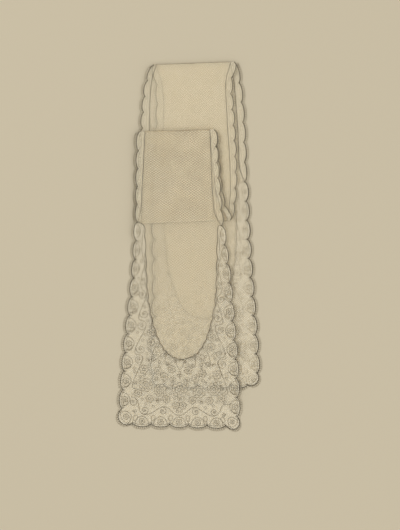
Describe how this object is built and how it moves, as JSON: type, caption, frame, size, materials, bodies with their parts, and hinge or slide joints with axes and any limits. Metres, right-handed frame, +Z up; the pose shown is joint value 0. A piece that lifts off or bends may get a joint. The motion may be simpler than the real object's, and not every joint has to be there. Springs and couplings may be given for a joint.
{
  "type": "lace cravat",
  "caption": "Long sheer net cravat with narrow scalloped lace edgings and deep lace ends, folded across its length and laid flat.",
  "frame": {"origin": "middle of the folded cravat's outline, on the surface that it rests on", "axes": "+X to the right as one looks down on it with the front lace end nearest, +Y from the front lace end to the fold at the neck, +Z up through the layers"},
  "size_m": [0.2049, 0.5178, 0.0084],
  "materials": {
    "net": "sheer ecru cotton net, matt",
    "edging_lace": "ecru lace edging, matt",
    "end_lace": "ecru lace with raised outlines, matt"
  },
  "bodies": {
    "root": {"net_back": "net", "net_neck": "net", "net_turn": "net", "net_front": "net", "edging_left_back": "edging_lace", "edging_right_back": "edging_lace", "edging_left_neck": "edging_lace", "edging_right_neck": "edging_lace", "edging_left_turn": "edging_lace", "edging_right_turn": "edging_lace", "edging_left_front": "edging_lace", "edging_right_front": "edging_lace", "lace_back": "end_lace", "lace_front": "end_lace"}
  },
  "joints": []
}
